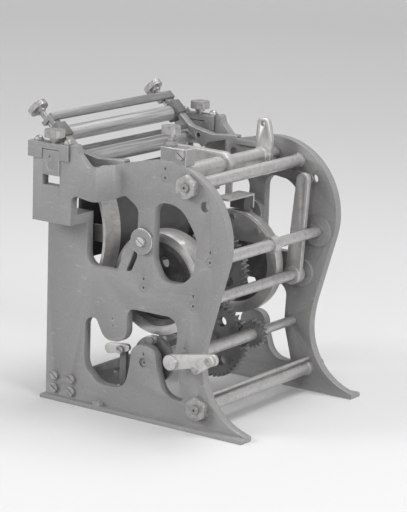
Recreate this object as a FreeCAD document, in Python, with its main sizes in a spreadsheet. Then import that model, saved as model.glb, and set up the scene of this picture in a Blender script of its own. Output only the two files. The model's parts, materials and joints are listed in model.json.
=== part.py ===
import FreeCAD, Part

import math
import os

# Etching press on two cast side frames. Lengths are in mm, angles in degrees.
# x runs from the straight rear edge of the frames to their flared toes, y from the outer
# face of the near frame to the far one, z up from the foot. Every piece is then shifted
# by the origin cells, so that the origin lies under the middle of the press.

SIZES = [
    # frame
    ("frame_length", 228.0), ("frame_thick", 9.0), ("inner_width", 171.0),
    ("flange_reach", 7.0), ("flange_height", 4.0),
    ("arch_x", 132.0), ("arch_z", 173.0), ("arch_radius", 70.4), ("crown_slope", 12.5),
    ("waist_z", 64.0), ("waist_x", 178.3), ("waist_radius", 100.0), ("toe_radius", 60.0),
    ("offset_reach", 25.0), ("offset_length", 70.0), ("offset_run", 9.0), ("shelf_z", 175.0),
    ("boss_thick", 3.0), ("rail_height", 4.7), ("rail_thick", 5.0),
    # shafts and rods
    ("journal", 4.25), ("running_gap", 0.05), ("end_gap", 0.3),
    ("main_x", 111.0), ("main_z", 123.6), ("main_radius", 6.0),
    ("lay_x", 112.9), ("crank_angle", 16.2),
    ("guide_x", 183.3), ("guide_z", 158.2), ("guide_radius", 5.6),
    ("swing_x", 166.4), ("swing_z", 115.5), ("swing_radius", 5.0),
    ("rocker_x", 131.8), ("rocker_z", 227.9), ("rocker_radius", 8.2),
    ("top_rod_x", 158.5), ("top_rod_z", 223.5), ("top_rod_radius", 5.8),
    ("low_rod_x", 176.5), ("low_rod_z", 22.3), ("low_rod_radius", 6.2),
    ("nut_width", 20.0), ("nut_height", 7.0),
    # gears and wheels
    ("gear_module", 1.6), ("gear_teeth", 44.0), ("pinion_teeth", 15.0),
    ("gear_y", 110.0), ("gear_thick", 8.0), ("tooth_slack", 0.36),
    ("near_wheel_radius", 48.0), ("near_wheel_y", 20.5), ("near_wheel_width", 23.5),
    ("far_wheel_radius", 50.0), ("far_wheel_y", 144.4), ("far_wheel_width", 11.0),
    ("cam_radius", 22.0), ("cam_y", 15.5), ("cam_thick", 4.0), ("pin_reach", 19.0),
    ("pin_radius", 4.5),
    # top bearings
    ("slot_rear", 12.0), ("slot_front", 32.0), ("slot_z", 200.8), ("post_z", 234.0),
    ("block_low", 219.0), ("block_high", 242.0), ("packing_height", 8.8),
    ("cap_height", 14.5), ("cap_bar", 5.5), ("cap_overhang", 4.0), ("slide_gap", 0.15),
    ("roller_z", 228.0), ("roller_radius", 8.0), ("roller_journal", 4.0),
    ("knob_radius", 9.5), ("knob_height", 7.0), ("screw_radius", 2.6),
    # inking unit
    ("arm_x", -2.0), ("arm_z", 269.4), ("arm_slope", 41.9), ("arm_thick", 4.0),
    ("ink_along", 19.4), ("ink_below", 8.0), ("ink_radius", 7.3), ("ink_journal", 3.5),
    ("strap_width", 8.5), ("strap_thick", 2.5),
    # linkage
    ("lever_y", 158.0), ("lever_thick", 5.0), ("bar_y", 163.3), ("bar_thick", 5.7),
    ("link_y", 169.3), ("link_thick", 4.0), ("link_pin", 2.6), ("tail_reach", 14.0),
    ("link_x", 173.5), ("link_z", 208.3), ("open_pivot_gap", 0.8),
    # crank
    ("crank_reach", 44.4), ("crank_rise", 12.0), ("crank_y", -20.0), ("crank_thick", 4.0),
    ("fold_reach", 17.3),
    # girt and screws
    ("girt_front", 37.0), ("girt_rear", 4.0), ("girt_low", 4.0), ("girt_high", 29.0),
    ("girt_wall", 4.0), ("head_radius", 4.4), ("head_height", 2.2), ("shank_radius", 2.5),
    # shift to the origin
    ("origin_x", 100.835),
]

doc = FreeCAD.newDocument("etching_press")
sheet = doc.addObject("Spreadsheet::Sheet", "Sizes")
for row, (alias, value) in enumerate(SIZES, start=1):
    sheet.set(f"A{row}", alias)
    sheet.set(f"B{row}", str(value))
    sheet.setAlias(f"B{row}", alias)
doc.recompute()

Vec = FreeCAD.Vector
ALIASES = sorted((alias for alias, value in SIZES), key=len, reverse=True)


def size(alias):
    return float(getattr(sheet, alias))


class Sizes:
    """Every cell of the sheet as an attribute."""

    def __getattr__(self, alias):
        return size(alias)


s = Sizes()
outer_width = 2 * s.frame_thick + s.inner_width
mid_y = outer_width / 2
far_face = s.frame_thick + s.inner_width
parts = []


def bind(thing, **links):
    """Ties properties of an object to cells of the sheet."""
    for name, text in links.items():
        for alias in ALIASES:
            text = text.replace("<" + alias + ">", "Sizes." + alias)
        thing.setExpression(name.replace("__", "."), text)


def place(thing, x=0.0, y=0.0, z=0.0, rotation=FreeCAD.Rotation()):
    """Sets a finished piece down in the press, measured from the shifted origin."""
    thing.Placement = FreeCAD.Placement(Vec(x - s.origin_x, y - mid_y, z), rotation)
    return thing


def keep(thing, label):
    thing.Label = label
    parts.append(thing)
    return thing


def polar(x, z, radius, angle):
    turn = math.radians(angle)
    return (x + radius * math.cos(turn), z + radius * math.sin(turn))


# ---------------------------------------------------------------- outlines

def arc_to(first, middle, last):
    return Part.Arc(Vec(*first, 0), Vec(*middle, 0), Vec(*last, 0))


def line_to(first, last):
    return Part.LineSegment(Vec(*first, 0), Vec(*last, 0))


def circle(x, z, radius):
    return [Part.Circle(Vec(x, z, 0), Vec(0, 0, 1), radius)]


def rounded(corners):
    """A closed outline through (x, z, radius) corners, each rounded by its radius."""
    edges = []
    ends = []
    count = len(corners)
    for index, (x, z, radius) in enumerate(corners):
        here = Vec(x, z, 0)
        back = (Vec(*corners[index - 1][:2], 0) - here).normalize()
        ahead = (Vec(*corners[(index + 1) % count][:2], 0) - here).normalize()
        if radius == 0:
            ends.append((here, here, None))
            continue
        half = back.getAngle(ahead) / 2
        reach = radius / math.tan(half)
        middle = (back + ahead).normalize() * (radius / math.sin(half) - radius)
        ends.append((here + back * reach, here + ahead * reach, here + middle))
    for index, (start, end, middle) in enumerate(ends):
        if middle is not None:
            edges.append(Part.Arc(start, middle, end))
        following = ends[(index + 1) % count][0]
        if end.distanceToPoint(following) > 1e-6:
            edges.append(Part.LineSegment(end, following))
    return edges


def arch_angle():
    """Angle of the line that leaves the arch and runs down into the waist."""
    waist_centre = (s.waist_x + s.waist_radius, s.waist_z)
    across = waist_centre[0] - s.arch_x
    down = waist_centre[1] - s.arch_z
    span = math.hypot(across, down)
    lean = math.degrees(math.asin((s.arch_radius + s.waist_radius) / span))
    return math.degrees(math.atan2(down, across)) + 90 - lean


def crown_z(x):
    """Height of the sloping top edge behind the arch."""
    top = polar(s.arch_x, s.arch_z, s.arch_radius, 90 + s.crown_slope)
    return top[1] + (x - top[0]) * math.tan(math.radians(s.crown_slope))


def front_edge():
    """Toe, waist, flank and arch of the side frame, from the foot up to the crown."""
    turn = arch_angle()
    arch_low = polar(s.arch_x, s.arch_z, s.arch_radius, turn)
    arch_end = polar(s.arch_x, s.arch_z, s.arch_radius, 90 + s.crown_slope)
    arch_mid = polar(s.arch_x, s.arch_z, s.arch_radius, (turn + 90 + s.crown_slope) / 2)
    centre_x = s.waist_x + s.waist_radius
    waist_top = polar(centre_x, s.waist_z, s.waist_radius, 180 + turn)
    waist_mid = polar(centre_x, s.waist_z, s.waist_radius, 180 + turn / 2)
    waist = (s.waist_x, s.waist_z)
    toe_x = s.waist_x + s.toe_radius
    toe_mid = polar(toe_x, s.waist_z, s.toe_radius, 217)
    toe = polar(toe_x, s.waist_z, s.toe_radius, 254)
    tip = (s.frame_length, s.flange_height + 0.5)
    return [
        line_to((s.frame_length, 0), tip),
        line_to(tip, toe),
        arc_to(toe, toe_mid, waist),
        arc_to(waist, waist_mid, waist_top),
        line_to(waist_top, arch_low),
        arc_to(arch_low, arch_mid, arch_end),
    ], arch_end


def upright(edges, y, thick):
    """A plate standing in the XZ plane, cut from an outline, from y to y + thick."""
    wire = Part.Wire(Part.__sortEdges__([edge.toShape() for edge in edges]))
    face = Part.Face(wire)
    face.rotate(Vec(0, 0, 0), Vec(1, 0, 0), 90)
    face.translate(Vec(0, y, 0))
    return face.extrude(Vec(0, thick, 0))


def bore(x, z, radius, start, length):
    return Part.makeCylinder(radius, length, Vec(x, start, z), Vec(0, 1, 0))


def box(x0, x1, y0, y1, z0, z1):
    return Part.makeBox(x1 - x0, y1 - y0, z1 - z0, Vec(x0, y0, z0))


def made(label, shape):
    """A sub-part whose shape is worked out above from the cells."""
    thing = doc.addObject("Part::Feature", label)
    if shape.ShapeType == "Compound" and len(shape.Solids) == 1:
        shape = shape.Solids[0]
    thing.Shape = shape
    own = shape.Placement
    place(thing)
    thing.Placement = thing.Placement.multiply(own)
    return keep(thing, label)


def mirrored(shape):
    return shape.mirror(Vec(0, mid_y, 0), Vec(0, 1, 0))


def pair(label, shapes):
    """The same pieces at the near and the far side, as one sub-part."""
    made(label, Part.makeCompound(shapes + [mirrored(shape) for shape in shapes]))


# ---------------------------------------------------------------- sketched pieces

def sketch_on(body, role, name):
    plane = next(f for f in body.Origin.OriginFeatures if f.Role == role)
    sketch = body.newObject("Sketcher::SketchObject", name)
    sketch.AttachmentSupport = (plane, "")
    sketch.MapMode = "FlatFace"
    return sketch


def plate(label, edges, thick, y, holes=()):
    """A flat piece sketched in the XZ plane and padded away from the near side.

    thick is an expression over the cells, y is where its near face stands."""
    body = doc.addObject("PartDesign::Body", label)
    sketch = sketch_on(body, "XZ_Plane", label + "_outline")
    sketch.addGeometry(list(edges), False)
    for x, z, radius in holes:
        sketch.addGeometry(circle(x, z, radius), False)
    pad = body.newObject("PartDesign::Pad", label + "_pad")
    pad.Profile = sketch
    pad.Reversed = True
    bind(pad, Length=thick)
    return keep(place(body, y=y), label)


def turned(label, x, z, steps, y=0.0):
    """A round piece about an axis along Y: (radius, end) steps from the first y on."""
    body = doc.addObject("PartDesign::Body", label)
    sketch = sketch_on(body, "XY_Plane", label + "_profile")
    start = steps[0][1]
    points = [(0.0, start)]
    for radius, end in steps[1:]:
        points.append((radius, points[-1][1]))
        points.append((radius, end))
    points.append((0.0, points[-1][1]))
    sketch.addGeometry(closed_lines(points), False)
    turn = body.newObject("PartDesign::Revolution", label + "_turning")
    turn.Profile = sketch
    turn.ReferenceAxis = (sketch, ["V_Axis"])
    turn.Angle = 360
    return keep(place(body, x, y, z), label)


def closed_lines(points):
    kept = [p for n, p in enumerate(points) if p != points[n - 1]]
    return [line_to(p, kept[(n + 1) % len(kept)]) for n, p in enumerate(kept)]


def ring(label, x, z, profile, y=0.0, holes=()):
    """A wheel about an axis along Y from its (radius, y) section, with round holes."""
    body = doc.addObject("PartDesign::Body", label)
    sketch = sketch_on(body, "XY_Plane", label + "_section")
    sketch.addGeometry(closed_lines(profile), False)
    turn = body.newObject("PartDesign::Revolution", label + "_turning")
    turn.Profile = sketch
    turn.ReferenceAxis = (sketch, ["V_Axis"])
    turn.Angle = 360
    if holes:
        drilling = sketch_on(body, "XZ_Plane", label + "_holes")
        for hole_x, hole_z, radius in holes:
            drilling.addGeometry(circle(hole_x, hole_z, radius), False)
        pocket = body.newObject("PartDesign::Pocket", label + "_drilling")
        pocket.Profile = drilling
        pocket.Type = "ThroughAll"
        pocket.Midplane = True
    return keep(place(body, x, y, z), label)


def hexagon(x, z, width, y, height, hole):
    nut = Part.makePolygon([
        Vec(*(lambda p: (p[0], y, p[1]))(polar(x, z, width / math.sqrt(3), 60 * n + 30)))
        for n in range(7)])
    solid = Part.Face(nut).extrude(Vec(0, height, 0))
    crown = Part.makeCone(width * 0.52, width * 0.52 + height, height,
                          Vec(x, y, z), Vec(0, 1, 0))
    solid = solid.common(crown)
    return solid.cut(bore(x, z, hole, y - 1, height + 2))


def slotted_head(x, z, y, radius, height, shank, reach):
    """Cheese-head screw whose head stands out from y towards the near side."""
    head = bore(x, z, radius, y - height, height)
    slot = box(x - radius, x + radius, y - height - 1, y - height / 2, z - 0.5, z + 0.5)
    slot.rotate(Vec(x, y, z), Vec(0, 1, 0), 35)
    return head.cut(slot).fuse(bore(x, z, shank, y - 0.01, reach)).removeSplitter()


# ---------------------------------------------------------------- where things are

pitch_radius = s.gear_module * s.gear_teeth / 2
pinion_radius = s.gear_module * s.pinion_teeth / 2
lay_turn = -math.degrees(math.acos((s.lay_x - s.main_x) / (2 * pitch_radius)))
lay_x, lay_z = polar(s.main_x, s.main_z, 2 * pitch_radius, lay_turn)
crank_x, crank_z = polar(lay_x, lay_z, pitch_radius + pinion_radius, s.crank_angle)
shaft_axes = {
    "main": (s.main_x, s.main_z), "lay": (lay_x, lay_z), "crank": (crank_x, crank_z),
    "guide": (s.guide_x, s.guide_z), "swing": (s.swing_x, s.swing_z),
    "rocker": (s.rocker_x, s.rocker_z),
}
bearing = s.journal + s.running_gap
slot_mid = (s.slot_rear + s.slot_front) / 2
near_in = s.frame_thick
girt_holes = [(x, z) for x in (10.7, 30.5) for z in (10.6, 22.6)]
stud_x, stud_z, disc_radius = 109.3, 166.7, 12.0
cap_rear = -s.cap_overhang
cap_front = s.slot_front + s.slot_rear - 1.5
cap_studs = (4.0, cap_front - 4.5)
wall_near = -s.offset_reach
wall_mid = wall_near + s.frame_thick / 2
thin_rod = (178.6, 32.4, 1.8)
lever_pivot = (79.5, 57.8)


# ---------------------------------------------------------------- side frames

def opening_outlines():
    column_x, column_z = lay_x, lay_z
    upper = rounded([
        (45.5, 134, 13), (45.5, 204, 6), (74, 199.5, 14), (88, 206, 6), (103.6, 196, 11),
        (103, 174, 14), (92, 160, 30), (80.5, 134.2, 2)])
    lens = rounded([(100.5, 158, 1.5), (90.5, 135.8, 1.2), (97, 136.5, 5), (104, 153, 6)])
    pear = rounded([
        (121, 205, 12), (150, 205, 26), (170, 176, 30), (164, 132.5, 22),
        (131, 132.5, 13), (121, 150, 20)])
    lower = rounded([
        (45, 85.5, 9), (58, 86, 4), (68, 67.5, 12), (93.3, 67.5, 13), (93.3, 101.4, 8),
        (150.8, 101.4, 12), (149, 62, 60), (159, 24.6, 3), (136, 25.5, 18),
        (column_x + 15, 50, 60), (column_x + 13.5, column_z + 16.2, 12),
        (column_x - 13.5, column_z + 16.2, 12), (column_x - 15, 50, 60),
        (92, 23.5, 16), (62, 23.5, 20), (45, 38, 16)])
    return upper, lens, pear, lower


def offset_wall():
    """Rear-top part, set outwards, with the post slot and the bend back to the plate."""
    length = s.offset_length
    bend = length + s.offset_run
    lean = math.hypot(s.offset_run, s.offset_reach)
    step_x = s.frame_thick * s.offset_reach / lean
    step_y = s.frame_thick * s.offset_run / lean
    inner_x = length - step_x + s.offset_run * (s.frame_thick - step_y) / s.offset_reach
    inner_end = inner_x + s.offset_run
    plan = rounded([
        (0, wall_near, 2), (length, wall_near, 8), (bend, 0, 8), (bend + 9, 0, 0),
        (bend + 9, s.frame_thick, 0), (inner_end, s.frame_thick, 4),
        (inner_x, wall_near + s.frame_thick, 4), (0, wall_near + s.frame_thick, 0)])
    wire = Part.Wire(Part.__sortEdges__([edge.toShape() for edge in plan]))
    wall = Part.Face(wire).extrude(Vec(0, 0, 300))
    post_front = cap_front + 0.5
    side = rounded([
        (0, s.shelf_z, 5), (bend + 9, s.shelf_z, 0), (bend + 9, crown_z(bend + 9), 0),
        (64, crown_z(64), 6), (post_front + 9, s.post_z + 8, 8),
        (post_front + 7, s.post_z + 16, 3), (post_front, s.post_z + 16, 3),
        (post_front, s.post_z, 0), (0, s.post_z, 0)])
    wall = wall.common(upright(side, wall_near - 1, s.offset_reach + 2 * s.frame_thick))
    slot = box(s.slot_rear, s.slot_front, wall_near - 1, 0, s.slot_z, s.post_z + 20)
    shelf_plan = rounded([
        (0, wall_near, 2), (length, wall_near, 8), (bend, 0, 8), (bend + 9, 0, 0),
        (bend + 9, s.frame_thick, 0), (0, s.frame_thick, 0)])
    wire = Part.Wire(Part.__sortEdges__([edge.toShape() for edge in shelf_plan]))
    shelf = Part.Face(wire).extrude(Vec(0, 0, s.frame_thick))
    shelf.translate(Vec(0, 0, s.shelf_z))
    return wall.cut(slot).fuse(shelf)


def frame_casting():
    """One side frame at the near side, with everything that both frames share."""
    front, crown = front_edge()
    bend = s.offset_length + s.offset_run
    ledge = s.shelf_z + s.frame_thick
    outline = front + [
        line_to(crown, (bend, crown_z(bend))), line_to((bend, crown_z(bend)), (bend, ledge)),
        line_to((bend, ledge), (0, ledge)), line_to((0, ledge), (0, 0)),
        line_to((0, 0), (s.frame_length, 0))]
    casting = upright(outline, 0, s.frame_thick)
    flange = upright(rounded([
        (-1.7, 0, 0), (s.frame_length, 0, 0), (s.frame_length, s.flange_height, 1.5),
        (-1.7, s.flange_height, 1.5)]), -s.flange_reach, s.flange_reach + s.frame_thick)
    bosses = [
        bore(*shaft_axes["guide"], 14.5, near_in - 1, s.boss_thick + 1),
        bore(*shaft_axes["swing"], 13.5, near_in - 1, s.boss_thick + 1),
    ]
    casting = casting.multiFuse([offset_wall(), flange] + bosses)
    through = s.offset_reach + s.frame_thick + s.boss_thick + 2
    cuts = [upright(edges, wall_near - 1, through) for edges in opening_outlines()]
    for name, (x, z) in shaft_axes.items():
        cuts.append(bore(x, z, bearing, -1, s.frame_thick + s.boss_thick + 2))
        cuts.append(bore(x, z + 8.7, 0.8, -1, 4))
    cuts.append(bore(s.top_rod_x, s.top_rod_z, bearing, -1, s.frame_thick + 2))
    cuts.append(bore(s.low_rod_x, s.low_rod_z, bearing, -1, s.frame_thick + 2))
    cuts.append(bore(176, 207.5, 4.8, -1, s.frame_thick + 2))
    cuts.append(bore(stud_x, stud_z, s.shank_radius, -1, s.frame_thick + 2))
    cuts.append(bore(thin_rod[0], thin_rod[1], thin_rod[2] + s.running_gap,
                     near_in - 2, 3))
    for x, z in girt_holes:
        cuts.append(bore(x, z, s.shank_radius, -1, s.frame_thick + 2))
    return casting.cut(Part.makeCompound(cuts)).removeSplitter()


casting = frame_casting()
lug = box(60, 68, -s.flange_reach + 1, 0, s.flange_height, s.flange_height + 4)
near_frame = casting.fuse(lug).removeSplitter()
made("side_frame_near", near_frame)

rail = box(86, 114, near_in - 0.5, near_in + s.rail_thick, 230.5, 230.5 + s.rail_height)
far_frame = mirrored(casting.fuse(rail))
window = bore(83.3, 222.2, 3.8, far_face - 1, s.frame_thick + 2)
far_frame = far_frame.cut(window).removeSplitter()
made("side_frame_far", far_frame)


# ---------------------------------------------------------------- girt, rods and nuts

girt = box(s.girt_rear, s.girt_front, near_in, far_face, s.girt_low, s.girt_high)
girt = girt.cut(box(s.girt_rear - 1, s.girt_front - s.girt_wall, near_in + s.girt_wall,
                    far_face - s.girt_wall, s.girt_low - 1, s.girt_high + 1))
girt = girt.cut(Part.makeCylinder(3, 20, Vec(s.girt_front - 10, 60, 18), Vec(1, 0, 0)))
for x, z in girt_holes:
    girt = girt.cut(bore(x, z, s.shank_radius, 0, outer_width))
made("rear_girt", girt)

pair("girt_screws", [
    slotted_head(x, z, 0, s.head_radius, s.head_height, s.shank_radius,
                 s.frame_thick + s.girt_wall) for x, z in girt_holes])

thread_end = s.nut_height + 1.5
for name, x, z, radius in (
        ("top_tie_rod", s.top_rod_x, s.top_rod_z, s.top_rod_radius),
        ("bottom_tie_rod", s.low_rod_x, s.low_rod_z, s.low_rod_radius)):
    turned(name, x, z, [
        (0, -thread_end), (s.journal, near_in), (radius + 1.2, near_in + 2.5),
        (radius, far_face - 2.5), (radius + 1.2, far_face),
        (s.journal, outer_width + thread_end)])
pair("tie_rod_nuts", [
    hexagon(x, z, s.nut_width, -s.nut_height, s.nut_height, s.journal)
    for x, z in ((s.top_rod_x, s.top_rod_z), (s.low_rod_x, s.low_rod_z))])
turned("guide_rod", thin_rod[0], thin_rod[1],
       [(0, near_in - 1.7), (thin_rod[2], far_face + 1.7)])


# ---------------------------------------------------------------- top bearings

def bearing_cap():
    """Bridge over the post slot, with the screw's hole and the two studs' holes."""
    top = s.post_z + s.cap_height
    cap = box(cap_rear, cap_front, wall_near - 2, wall_near + s.frame_thick + 2,
              s.post_z, top)
    cap = cap.cut(box(s.slot_rear, s.slot_front, wall_near - 3, 0, s.post_z - 1,
                      top - s.cap_bar))
    hole = Part.makeCylinder(s.screw_radius + s.running_gap, 40,
                             Vec(slot_mid, wall_mid, s.post_z))
    cap = cap.cut(hole)
    for x in cap_studs:
        cap = cap.cut(Part.makeCylinder(2, 40, Vec(x, wall_mid, s.post_z - 1)))
    return cap


def cap_nuts():
    """Two studs with a round flange and a domed nut on top of one cap."""
    top = s.post_z + s.cap_height
    pieces = []
    for x in cap_studs:
        stud = Part.makeCylinder(2, s.cap_height, Vec(x, wall_mid, s.post_z))
        flange = Part.makeCylinder(4.8, 1.5, Vec(x, wall_mid, top))
        dome = Part.makeSphere(4, Vec(x, wall_mid, top + 1), Vec(0, 0, 1), 0, 90, 360)
        pieces.append(stud.multiFuse([flange, dome]).removeSplitter())
    return pieces


def bearing_block():
    """Sliding block in the slot, bored for the roller's journal, with an oil hole."""
    low = s.block_low
    block = box(s.slot_rear + s.slide_gap, s.slot_front - s.slide_gap, wall_near - 1,
                wall_near + s.frame_thick + 1, low, s.block_high)
    block = block.cut(bore(slot_mid, s.roller_z, s.roller_journal + s.running_gap,
                           wall_near - 5, 30))
    socket = Part.makeCylinder(s.screw_radius + s.running_gap, 3,
                               Vec(slot_mid, wall_mid, s.block_high - 2.5))
    oil = bore(slot_mid - 2, s.roller_z + 8, 0.9, wall_near - 2, 3)
    return block.cut(socket).cut(oil)


def packing_block():
    return box(s.slot_rear + s.slide_gap, s.slot_front - s.slide_gap, wall_near,
               wall_near + s.frame_thick, s.slot_z, s.slot_z + s.packing_height)


def knurled_knob(radius, height, neck, ridges=36):
    """Knurled head on the Z axis, with its underside at 0 and a short neck below."""
    head = Part.makeCylinder(radius, height)
    groove = Part.makeCylinder(0.5, height + 2, Vec(radius + 0.1, 0, -1))
    grooves = []
    for number in range(ridges):
        turned_groove = groove.copy()
        turned_groove.rotate(Vec(), Vec(0, 0, 1), 360.0 * number / ridges)
        grooves.append(turned_groove)
    head = head.cut(Part.makeCompound(grooves))
    return head.fuse(Part.makeCylinder(neck, 3.2, Vec(0, 0, -3)))


def pressure_screw():
    top = s.post_z + s.cap_height
    knob = knurled_knob(s.knob_radius, s.knob_height, s.screw_radius + 2)
    knob.translate(Vec(slot_mid, wall_mid, top + 5.2))
    tip = s.block_high - 2.3
    stem = Part.makeCylinder(s.screw_radius, top + 6 - tip, Vec(slot_mid, wall_mid, tip))
    return knob.fuse(stem).removeSplitter()


pair("bearing_caps", [bearing_cap()])
pair("cap_nuts", cap_nuts())
pair("bearing_blocks", [bearing_block()])
pair("packing_blocks", [packing_block()])
made("pressure_screw_near", pressure_screw())
made("pressure_screw_far", mirrored(pressure_screw()))

turned("impression_roller", slot_mid, s.roller_z, [
    (0, wall_near - 1), (s.roller_journal, wall_near + s.frame_thick + 2),
    (s.roller_journal + 1.5, near_in + 3), (s.roller_radius, far_face - 3),
    (s.roller_journal + 1.5, outer_width - wall_near - s.frame_thick - 2),
    (s.roller_journal, outer_width - wall_near + 1)])


# ---------------------------------------------------------------- inking unit

slope = math.radians(s.arm_slope)
down_arm = (math.cos(slope), -math.sin(slope))
off_arm = (math.sin(slope), math.cos(slope))


def on_arm(along, above):
    """Point (x, z) at a distance along the arm's top edge and above it."""
    return (s.arm_x + along * down_arm[0] + above * off_arm[0],
            s.arm_z + along * down_arm[1] + above * off_arm[1])


def arm_piece(along, above, y, y_end):
    """A block square to the arm, from (start, end) spans along and above it."""
    corners = [on_arm(a, b) + (0,) for a, b in (
        (along[0], above[0]), (along[1], above[0]), (along[1], above[1]),
        (along[0], above[1]))]
    return upright(rounded(corners), y, y_end - y)


def along_arm(shape, along, above, y):
    """Turns a shape made on +Z to point back up the arm and sets it down there."""
    moved = shape.copy()
    moved.rotate(Vec(), Vec(0, 1, 0), -(90 - s.arm_slope))
    x, z = on_arm(along, above)
    moved.translate(Vec(x, y, z))
    return moved


lug_along = (0.0, s.arm_thick)
block_along = (s.ink_along - 7.5, s.ink_along + 7.5)
arm_mid = s.frame_thick / 2
ink_axis = on_arm(s.ink_along, -s.ink_below)


def inking_bracket():
    foot_low = (62.0, crown_z(62.0))
    foot_high = (86.0, crown_z(86.0))
    outline = rounded([
        on_arm(0, -s.arm_thick) + (0,), on_arm(0, 0) + (0.8,), on_arm(43, 0) + (14,),
        (57, 235.2, 6), (foot_high[0], foot_high[1] + 3, 1.5), foot_high + (0,),
        foot_low + (0,), (52, 226.6, 3), on_arm(68, -s.arm_thick) + (1.5,)])
    bracket = upright(outline, 0, s.frame_thick)
    bracket = bracket.cut(bore(41, 232.3, 2.6, -1, s.frame_thick + 2))
    lug_block = arm_piece(lug_along, (-12.5, -s.arm_thick + 0.5), 0, s.frame_thick)
    bracket = bracket.fuse(lug_block)
    hole = Part.makeCylinder(s.screw_radius + s.running_gap, 12, Vec(0, 0, -8))
    return bracket.cut(along_arm(hole, 0, -s.ink_below, arm_mid)).removeSplitter()


def roller_block():
    gap = s.slide_gap
    block = arm_piece(block_along, (-14, 2.2), -2.2, s.frame_thick + 2.2)
    block = block.cut(arm_piece((block_along[0] - 1, block_along[1] + 1),
                                (-s.arm_thick - gap, gap), -gap, s.frame_thick + gap))
    block = block.cut(bore(*ink_axis, s.ink_journal + s.running_gap, -5, 30))
    socket = Part.makeCylinder(s.screw_radius + s.running_gap, 4)
    return block.cut(along_arm(socket, block_along[0] + 3, -s.ink_below, arm_mid))


def thumb_screw():
    head = knurled_knob(s.knob_radius, 5.5, s.screw_radius + 2.2)
    head.translate(Vec(0, 0, 11.5))
    stem = Part.makeCylinder(s.screw_radius, 12 + block_along[0] + 2.8,
                             Vec(0, 0, -block_along[0] - 2.8))
    screw = head.fuse(stem).removeSplitter()
    return along_arm(screw, 0, -s.ink_below, arm_mid)


pair("roller_blocks", [roller_block()])
made("inking_bracket_near", inking_bracket())
made("inking_bracket_far", mirrored(inking_bracket()))
made("thumb_screw_near", thumb_screw())
made("thumb_screw_far", mirrored(thumb_screw()))

block_side = s.frame_thick + 2.2
turned("inking_roller", *ink_axis, [
    (0, -1.5), (s.ink_journal, block_side + 0.8), (s.ink_radius, outer_width - block_side - 0.8),
    (s.ink_journal, outer_width + 1.5)])
made("cross_strap", arm_piece((0, s.strap_width), (0, s.strap_thick), 0, outer_width))
made("scraper_bar", box(27, 28.6, near_in, far_face, 237.6, 242))


# ---------------------------------------------------------------- front adjuster

post_x, post_y, post_top = 132.0, 7.0, 256.0
clamp_x, clamp_z = 149.0, 251.0
post = box(127 - 1, 154, 0, 14, s.arch_z + s.arch_radius - 8, post_top)
post = post.cut(bore(s.arch_x, s.arch_z, s.arch_radius, -1, 20))
post = post.cut(Part.makeCylinder(s.screw_radius + s.running_gap, 40,
                                  Vec(post_x, post_y, 246)))
post = post.cut(bore(clamp_x, clamp_z, s.shank_radius, -1, 9))
made("adjuster_post", post)

knob = knurled_knob(8.5, s.knob_height, s.screw_radius + 1.8)
knob.translate(Vec(post_x, post_y, post_top + 11.5))
stem = Part.makeCylinder(s.screw_radius, 21, Vec(post_x, post_y, post_top - 9.5))
made("adjuster_screw", knob.fuse(stem).removeSplitter())
locknut = hexagon(0, 0, 11, 0, 5, s.screw_radius + s.running_gap)
locknut.rotate(Vec(), Vec(1, 0, 0), 90)
locknut.translate(Vec(post_x, post_y, post_top))
made("adjuster_locknut", locknut)
made("clamp_screw", slotted_head(clamp_x, clamp_z, 0, s.head_radius, 3.0,
                                 s.shank_radius, 8))


# ---------------------------------------------------------------- main shaft

def gear_outline(teeth, phase):
    """Trapezoid teeth on a root circle; phase is the angle of one tooth's middle."""
    pitch = s.gear_module * teeth / 2
    tip = pitch + 0.9 * s.gear_module
    root = pitch - 1.2 * s.gear_module
    lean = math.tan(math.radians(20))
    half = math.pi * s.gear_module / 4 - s.tooth_slack / 2
    half_tip = math.degrees((half - (tip - pitch) * lean) / tip)
    half_root = math.degrees((half + (pitch - root) * lean) / root)
    step = 360.0 / teeth
    edges = []
    for number in range(int(teeth)):
        middle = phase + number * step
        a = polar(0, 0, root, middle - half_root)
        b = polar(0, 0, tip, middle - half_tip)
        c = polar(0, 0, tip, middle + half_tip)
        d = polar(0, 0, root, middle + half_root)
        e = polar(0, 0, root, middle + step - half_root)
        edges.append(line_to(a, b))
        edges.append(arc_to(b, polar(0, 0, tip, middle), c))
        edges.append(line_to(c, d))
        edges.append(arc_to(d, polar(0, 0, root, middle + step / 2), e))
    return edges


def gear(label, teeth, phase, x, z, hole, holes=()):
    body = plate(label, gear_outline(teeth, phase), "<gear_thick>", s.gear_y,
                 [(0, 0, hole)] + list(holes))
    return place(body, x, s.gear_y, z)


main_step = 360.0 / s.gear_teeth
lay_phase = lay_turn + 180 + main_step / 2
turn_left = ((s.crank_angle - lay_phase) / main_step) % 1.0
pinion_phase = s.crank_angle + 180 + (turn_left + 0.5) * 360.0 / s.pinion_teeth

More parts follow.
